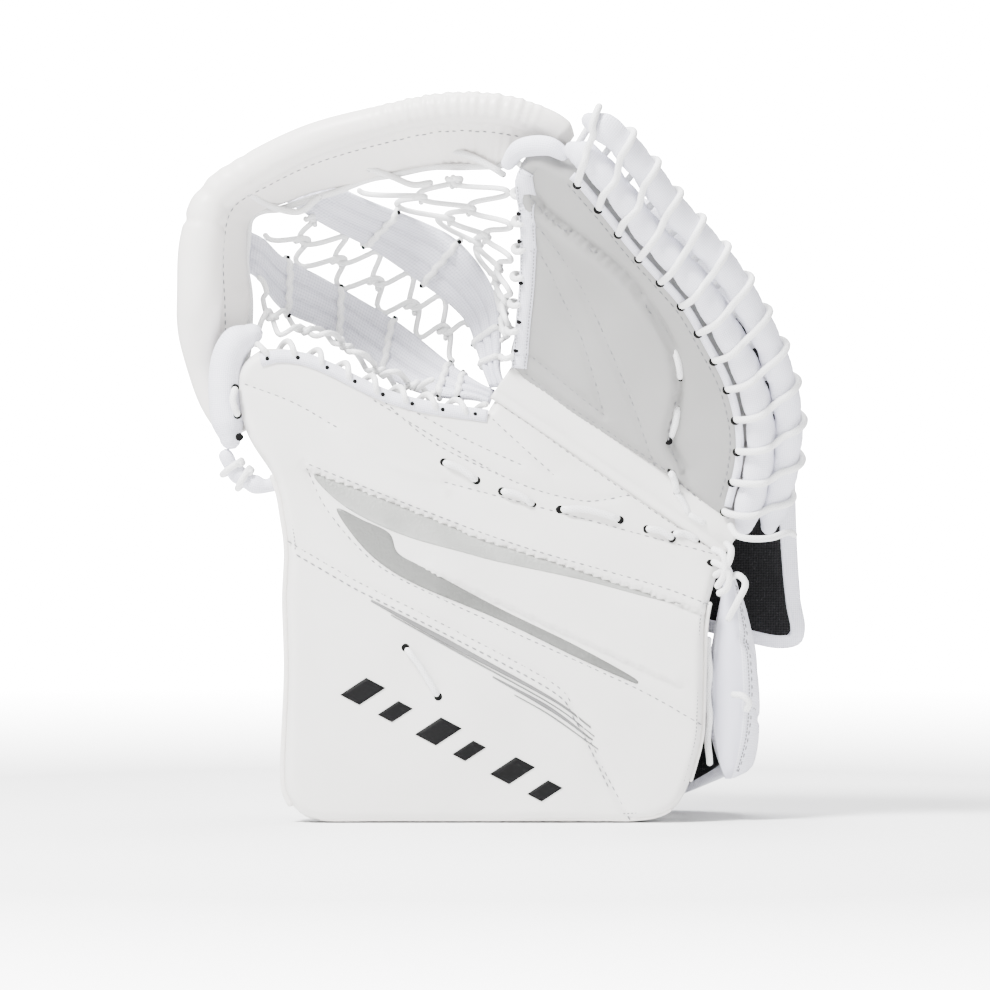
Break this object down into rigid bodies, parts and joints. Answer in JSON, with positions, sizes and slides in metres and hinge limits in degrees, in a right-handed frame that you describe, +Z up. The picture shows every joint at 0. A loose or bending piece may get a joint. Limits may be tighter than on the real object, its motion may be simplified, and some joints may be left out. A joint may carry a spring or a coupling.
{
  "type": "goalie catch glove",
  "caption": "Ice hockey goalie catch glove with a stiff cuff, laced finger band, netted catching pocket, padded perimeter and a strapped wrist guard.",
  "frame": {"origin": "middle of the flat lower edge of the cuff's back lining, at the bottom of the cuff", "axes": "+Z up from the cuff to the fingertips, -Y out of the palm towards the catching pocket's mouth, +X from the thumb and pocket side to the finger side"},
  "size_m": [0.3516, 0.2048, 0.3988],
  "materials": {
    "white_leather": "smooth, slightly creased",
    "white_nylon": "fine woven nylon",
    "white_cord": "round braid",
    "cream_foam": "closed-cell foam",
    "grey_plastic": "matt sheet",
    "black_lining": "black mesh lining",
    "silver_grain": "silver pebble grain",
    "black_hook": "hook and loop tape"
  },
  "bodies": {
    "palm_body": {"cuff_face": "white_leather", "cuff_foam": "cream_foam", "cuff_board": "grey_plastic", "cuff_back_lining": "black_lining", "cuff_edge_piping": "white_leather", "inlay_upper": "silver_grain", "inlay_lower": "silver_grain", "palm_lace": "white_cord", "cuff_toggle_lace": "white_cord", "break_gusset": "white_leather", "thumb_binding": "white_nylon", "thumb_binding_tail": "white_nylon", "thumb_tie_lace": "white_cord", "perimeter_roll_thumb": "white_leather", "perimeter_wall_thumb": "white_leather", "perimeter_lace_thumb": "white_cord", "perimeter_corner": "white_leather", "pocket_strap_lower": "white_nylon", "net_thumb": "white_cord", "net_middle": "white_cord", "pocket_lace_thumb": "white_cord", "thumb_sleeve": "black_lining", "thumb_back_pad": "white_nylon", "guard_hinge_lace": "white_cord", "wrist_loop_patch": "black_hook"},
    "finger_body": {"finger_face": "white_leather", "finger_foam": "cream_foam", "finger_board": "grey_plastic", "finger_back_cover": "black_lining", "finger_binding_front": "white_nylon", "finger_binding_back": "white_nylon", "finger_top_roll": "white_nylon", "finger_edge_lace": "white_cord", "perimeter_roll_finger": "white_leather", "perimeter_wall_finger": "white_leather", "perimeter_lace_finger": "white_cord", "pocket_strap_upper": "white_nylon", "net_finger": "white_cord", "pocket_lace_finger": "white_cord", "finger_sleeve": "black_lining", "finger_divider_1": "black_lining", "finger_divider_2": "black_lining", "finger_divider_3": "black_lining", "backhand_lining": "black_lining", "backhand_pad": "white_nylon", "hand_strap_anchor": "white_nylon", "hand_loop_patch": "black_hook"},
    "guard_body": {"wrist_guard_pad": "white_nylon", "wrist_guard_lining": "black_lining", "wrist_guard_binding": "white_nylon", "wrist_strap_anchor": "white_nylon"},
    "wrist_strap_body": {"wrist_strap": "white_nylon", "wrist_strap_hook": "black_hook"},
    "hand_strap_body": {"hand_strap": "white_nylon", "hand_strap_hook": "black_hook"}
  },
  "joints": [
    {"name": "palm_break", "type": "hinge", "parent": "palm_body", "child": "finger_body", "pos_m": [0, -0.0048, 0.2365], "axis": [0.8253, 0, -0.5647], "range_deg": [0, 65], "deforming": ["break_gusset", "perimeter_corner", "net_middle"]},
    {"name": "guard_swing", "type": "hinge", "parent": "palm_body", "child": "guard_body", "pos_m": [0.1155, -0.0055, 0.075], "axis": [0, 0, -1], "range_deg": [0, 40]},
    {"name": "wrist_strap_peel", "type": "hinge", "parent": "guard_body", "child": "wrist_strap_body", "pos_m": [0, 0.0976, 0.045], "axis": [0, 0, -1], "range_deg": [0, 120]},
    {"name": "hand_strap_peel", "type": "hinge", "parent": "finger_body", "child": "hand_strap_body", "pos_m": [0.12555, 0.0658, 0.12957], "axis": [-0.557, 0.1644, -0.8141], "range_deg": [0, 100]}
  ]
}
